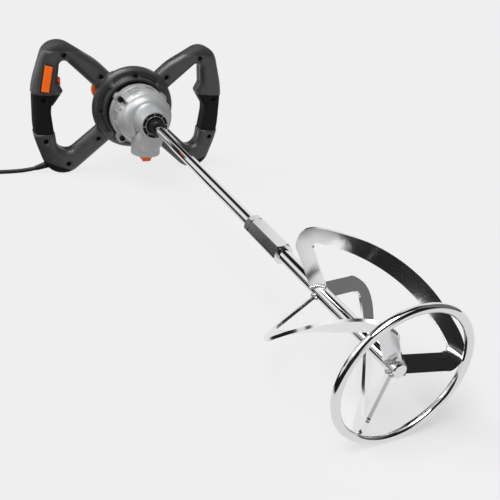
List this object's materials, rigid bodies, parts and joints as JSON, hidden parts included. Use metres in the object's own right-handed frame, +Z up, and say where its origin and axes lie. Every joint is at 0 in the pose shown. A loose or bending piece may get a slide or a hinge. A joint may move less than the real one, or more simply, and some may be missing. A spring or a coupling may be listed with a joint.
{
  "type": "mixing drill",
  "caption": "Hand-held paddle mixer with a twin-handle frame, in-line motor, two-speed gear case, long chromed shaft and a ringed helical paddle, with its cord coiled.",
  "frame": {"origin": "on the floor under the middle of the laid-down tool, cord left out", "axes": "+X towards the right-hand handle, +Y from the paddle to the motor cap, +Z up"},
  "size_m": [0.746, 0.8714, 0.225],
  "materials": {
    "dark_plastic": "fine-grained moulded plastic",
    "black_rubber": "soft matt rubber",
    "screw_steel": "zinc-plated steel",
    "cast_aluminium": "blasted die casting",
    "dark_steel": "blackened steel",
    "bearing_steel": "ground steel",
    "bronze": "sintered bronze",
    "gear_steel": "hardened steel",
    "core_steel": "stacked sheet steel",
    "copper": "lacquered copper",
    "inner_plastic": "glass-filled plastic",
    "orange_plastic": "satin orange plastic",
    "red_plastic": "satin red-orange plastic",
    "chrome": "bright polished plating"
  },
  "bodies": {
    "housing": {"front_shell": "dark_plastic", "rear_shell": "dark_plastic", "motor_cap": "dark_plastic", "left_grip": "black_rubber", "right_grip": "black_rubber", "upper_bumpers": "black_rubber", "lower_feet": "black_rubber", "shaft_seal": "black_rubber", "cable_grommet": "black_rubber", "power_cord": "black_rubber", "cord_coil": "black_rubber", "cord_tail": "black_rubber", "coil_tie": "black_rubber", "plug": "black_rubber", "handle_screws": "screw_steel", "cap_screws": "screw_steel", "gear_case_screws": "screw_steel", "clamp_screw": "screw_steel", "brush_springs": "screw_steel", "gear_case": "cast_aluminium", "bearing_plate": "dark_steel", "spindle_front_bearing": "bearing_steel", "layshaft_rear_bearing": "bearing_steel", "armature_front_bearing": "bearing_steel", "armature_rear_bearing": "bearing_steel", "spindle_rear_bush": "bronze", "layshaft_front_bush": "bronze", "carbon_brushes": "bronze", "stator_core": "core_steel", "field_windings": "copper", "brush_plate": "inner_plastic", "brush_holders": "inner_plastic", "switch_body": "inner_plastic", "speed_control": "inner_plastic", "cord_clamp": "inner_plastic"},
    "spindle": {"spindle": "dark_steel", "low_gear": "gear_steel", "high_gear": "gear_steel", "upper_shaft": "chrome", "jam_nut": "chrome", "coupling_nut": "chrome", "paddle_shaft": "chrome", "blade_1": "chrome", "blade_2": "chrome", "blade_3": "chrome", "paddle_ring": "chrome"},
    "layshaft": {"layshaft": "gear_steel", "layshaft_gear": "gear_steel", "low_pinion": "gear_steel"},
    "high_pinion": {"high_pinion": "gear_steel"},
    "dog_sleeve": {"dog_sleeve": "gear_steel"},
    "armature": {"armature_shaft": "gear_steel", "armature_core": "core_steel", "armature_windings": "copper", "commutator": "copper", "fan": "inner_plastic"},
    "trigger": {"trigger": "orange_plastic"},
    "lock_button": {"lock_button": "red_plastic"},
    "speed_dial": {"speed_dial": "orange_plastic"},
    "selector": {"selector_knob": "orange_plastic"}
  },
  "joints": [
    {"name": "spindle_spin", "type": "hinge", "parent": "housing", "child": "spindle", "pos_m": [0, 0.32904, 0.12337], "axis": [0, 0.9975, 0.0706], "continuous": true},
    {"name": "layshaft_spin", "type": "hinge", "parent": "housing", "child": "layshaft", "pos_m": [0, 0.27142, 0.08771], "axis": [0, 0.9975, 0.0706], "continuous": true},
    {"name": "high_pinion_spin", "type": "hinge", "parent": "housing", "child": "high_pinion", "pos_m": [0, 0.24249, 0.08566], "axis": [0, 0.9975, 0.0706], "continuous": true},
    {"name": "armature_spin", "type": "hinge", "parent": "housing", "child": "armature", "pos_m": [0, 0.36941, 0.11951], "axis": [0, 0.9975, 0.0706], "continuous": true},
    {"name": "trigger_pull", "type": "slide", "parent": "housing", "child": "trigger", "axis": [0, 0.9975, 0.0706], "range_m": [0, 0.006], "stiffness_N_per_m": 500, "springref_m": -0.008},
    {"name": "lock_button_push", "type": "slide", "parent": "housing", "child": "lock_button", "axis": [-1, 0, 0], "range_m": [0, 0.0025], "stiffness_N_per_m": 400, "springref_m": -0.004},
    {"name": "speed_dial_turn", "type": "hinge", "parent": "housing", "child": "speed_dial", "pos_m": [-0.052, 0.34558, 0.14459], "axis": [0, 0.9975, 0.0706], "range_deg": [0, 270]},
    {"name": "selector_turn", "type": "hinge", "parent": "housing", "child": "selector", "pos_m": [0, 0.25894, 0.05726], "axis": [0, 0.0706, -0.9975], "range_deg": [0, 90]},
    {"name": "dog_sleeve_slide", "type": "slide", "parent": "layshaft", "child": "dog_sleeve", "axis": [0, -0.9975, -0.0706], "range_m": [0, 0.0034]}
  ],
  "couplings": [
    {"joint": "layshaft_spin", "follows": "spindle_spin", "ratio": -3.2},
    {"joint": "high_pinion_spin", "follows": "spindle_spin", "ratio": -1.7391},
    {"joint": "armature_spin", "follows": "spindle_spin", "ratio": 12.062},
    {"joint": "dog_sleeve_slide", "follows": "selector_turn", "m_per_rad": 0.002164}
  ]
}
